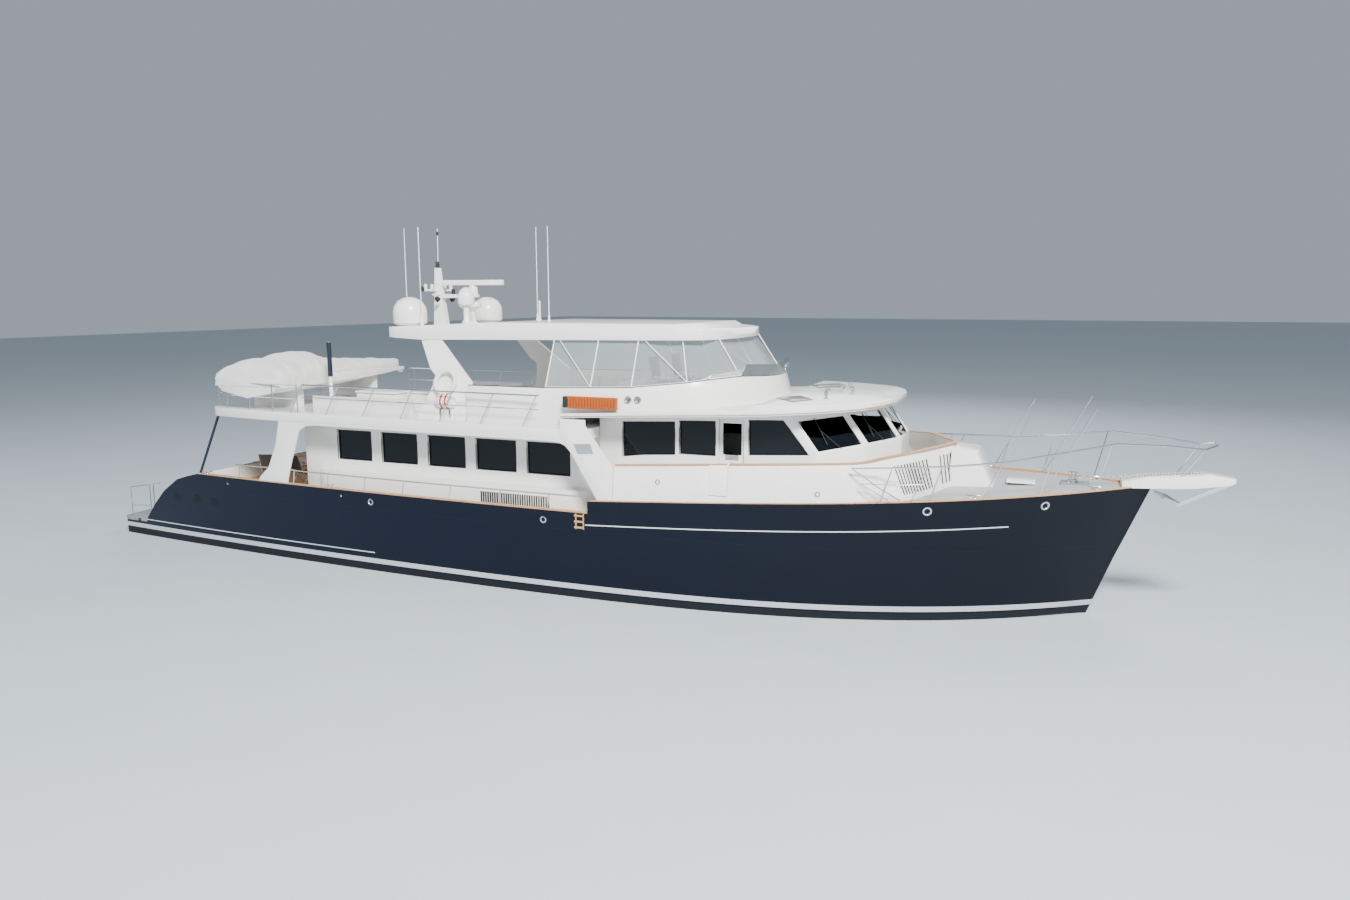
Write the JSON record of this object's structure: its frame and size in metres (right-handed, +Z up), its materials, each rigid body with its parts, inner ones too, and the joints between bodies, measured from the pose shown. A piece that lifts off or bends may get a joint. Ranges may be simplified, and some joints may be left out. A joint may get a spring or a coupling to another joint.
{
  "type": "flybridge motor yacht",
  "caption": "Navy-hulled flybridge motor yacht with raised pilothouse, covered side decks, hardtop, radar mast, tender across the boat deck, davit and swim platform.",
  "frame": {"origin": "on the centreline at the waterline, midway between the swim platform's aft edge and the anchor platform's tip", "axes": "+X forward to the bow, +Y to port, +Z up"},
  "size_m": [30.2, 6.8366, 10.56],
  "materials": {
    "hull_gelcoat": "polished navy gelcoat over glass-fibre laminate",
    "white_gelcoat": "warm white gelcoat over glass-fibre laminate",
    "grey_nonskid": "grey non-skid deck",
    "stainless": "polished stainless steel",
    "bronze": "cast nickel-aluminium bronze",
    "tinted_glass": "dark tinted safety glass",
    "clear_vinyl": "clear flexible curtain sheet",
    "canvas_cover": "white acrylic canvas",
    "dark_laminate": "dark anti-glare laminate",
    "cushion_fabric": "outdoor cushion fabric"
  },
  "bodies": {
    "yacht": {"hull": "hull_gelcoat", "forward_topsides": "hull_gelcoat", "aft_bulwark": "hull_gelcoat", "transom_bulwark": "hull_gelcoat", "swim_platform": "grey_nonskid", "saloon_walls": "white_gelcoat", "boat_deck": "white_gelcoat", "tender_hull": "white_gelcoat", "tender_cover": "canvas_cover", "bridge_bulwark": "white_gelcoat", "pilothouse_walls": "white_gelcoat", "pilothouse_glass": "tinted_glass", "helm_console": "dark_laminate", "pilothouse_roof": "white_gelcoat", "flybridge_coaming": "white_gelcoat", "flybridge_screen": "tinted_glass", "hardtop": "white_gelcoat", "enclosure_frame": "stainless", "enclosure_glazing": "clear_vinyl", "flybridge_console": "white_gelcoat", "flybridge_settee": "cushion_fabric", "radar_mast": "white_gelcoat", "anchor_platform": "white_gelcoat", "anchor": "stainless", "windlass_base": "stainless", "shaft_bracket_starboard": "bronze", "shaft_bracket_port": "bronze", "side_screen_starboard": "white_gelcoat", "side_screen_port": "white_gelcoat", "side_rail_starboard": "stainless", "side_rail_port": "stainless", "saloon_glass_starboard": "tinted_glass", "saloon_glass_port": "tinted_glass", "boat_deck_rail_starboard": "stainless", "boat_deck_rail_port": "stainless", "arch_leg_starboard": "white_gelcoat", "arch_leg_port": "white_gelcoat", "satellite_dome_starboard": "white_gelcoat", "satellite_dome_port": "white_gelcoat", "bow_rail_starboard": "stainless", "bow_rail_port": "stainless"},
    "radar_scanner": {"radar_scanner": "white_gelcoat"},
    "davit_column": {"davit_column": "white_gelcoat"},
    "davit_boom": {"davit_boom": "white_gelcoat"},
    "windlass_drum": {"windlass_drum": "stainless"},
    "foredeck_hatch": {"foredeck_hatch": "white_gelcoat"},
    "propeller_starboard": {"propeller_starboard": "bronze"},
    "propeller_port": {"propeller_port": "bronze"},
    "rudder_starboard": {"rudder_starboard": "bronze"},
    "rudder_port": {"rudder_port": "bronze"},
    "transom_gate_starboard": {"transom_gate_starboard": "white_gelcoat"},
    "transom_gate_port": {"transom_gate_port": "white_gelcoat"},
    "saloon_door_starboard": {"saloon_door_starboard": "tinted_glass"},
    "saloon_door_port": {"saloon_door_port": "tinted_glass"},
    "bulwark_gate_starboard": {"bulwark_gate_starboard": "white_gelcoat"},
    "bulwark_gate_port": {"bulwark_gate_port": "white_gelcoat"},
    "pilothouse_door_starboard": {"pilothouse_door_starboard": "white_gelcoat"},
    "pilothouse_door_port": {"pilothouse_door_port": "white_gelcoat"}
  },
  "joints": [
    {"name": "propeller_starboard_spin", "type": "hinge", "parent": "yacht", "child": "propeller_starboard", "pos_m": [-11, -1.5, -1.04], "axis": [0.9925, 0, 0.1219], "continuous": true},
    {"name": "rudder_starboard_turn", "type": "hinge", "parent": "yacht", "child": "rudder_starboard", "pos_m": [-12.15, -1.5, -0.5], "axis": [0, 0, 1], "range_deg": [-35, 35]},
    {"name": "transom_gate_starboard_swing", "type": "hinge", "parent": "yacht", "child": "transom_gate_starboard", "pos_m": [-11.38, -2.438, 1.9], "axis": [0, 0, -1], "range_deg": [0, 90]},
    {"name": "saloon_door_starboard_slide", "type": "slide", "parent": "yacht", "child": "saloon_door_starboard", "axis": [0, -1, 0], "range_m": [0, 0.68]},
    {"name": "pilothouse_door_starboard_slide", "type": "slide", "parent": "yacht", "child": "pilothouse_door_starboard", "axis": [-1, 0, 0], "range_m": [0, 0.62]},
    {"name": "bulwark_gate_starboard_swing", "type": "hinge", "parent": "yacht", "child": "bulwark_gate_starboard", "pos_m": [4.316, -3.1554, 3.1], "axis": [0, 0.1761, 0.9844], "range_deg": [0, 90]},
    {"name": "propeller_port_spin", "type": "hinge", "parent": "yacht", "child": "propeller_port", "pos_m": [-11, 1.5, -1.04], "axis": [0.9925, 0, 0.1219], "continuous": true},
    {"name": "rudder_port_turn", "type": "hinge", "parent": "yacht", "child": "rudder_port", "pos_m": [-12.15, 1.5, -0.5], "axis": [0, 0, 1], "range_deg": [-35, 35]},
    {"name": "transom_gate_port_swing", "type": "hinge", "parent": "yacht", "child": "transom_gate_port", "pos_m": [-11.38, 2.438, 1.9], "axis": [0, 0, 1], "range_deg": [0, 90]},
    {"name": "saloon_door_port_slide", "type": "slide", "parent": "yacht", "child": "saloon_door_port", "axis": [0, 1, 0], "range_m": [0, 0.68]},
    {"name": "pilothouse_door_port_slide", "type": "slide", "parent": "yacht", "child": "pilothouse_door_port", "axis": [-1, 0, 0], "range_m": [0, 0.62]},
    {"name": "bulwark_gate_port_swing", "type": "hinge", "parent": "yacht", "child": "bulwark_gate_port", "pos_m": [4.316, 3.1554, 3.1], "axis": [0, 0.1761, -0.9844], "range_deg": [0, 90]},
    {"name": "radar_scanner_spin", "type": "hinge", "parent": "yacht", "child": "radar_scanner", "pos_m": [-3.85, 0, 7.55], "axis": [0, 0, 1], "continuous": true},
    {"name": "windlass_drum_spin", "type": "hinge", "parent": "yacht", "child": "windlass_drum", "pos_m": [11.9, 0, 3.1], "axis": [0, 0, 1], "continuous": true},
    {"name": "davit_slew", "type": "hinge", "parent": "yacht", "child": "davit_column", "pos_m": [-7.43, -1.8, 4.1], "axis": [0, 0, 1], "range_deg": [-180, 0]},
    {"name": "davit_luff", "type": "hinge", "parent": "davit_column", "child": "davit_boom", "pos_m": [-7.43, -1.62, 4.99], "axis": [1, 0, 0], "range_deg": [0, 60]},
    {"name": "foredeck_hatch_lift", "type": "hinge", "parent": "yacht", "child": "foredeck_hatch", "pos_m": [10.5, 0, 2.955], "axis": [0, -1, 0], "range_deg": [0, 100]}
  ],
  "couplings": [
    {"joint": "rudder_port_turn", "follows": "rudder_starboard_turn", "ratio": 1}
  ]
}
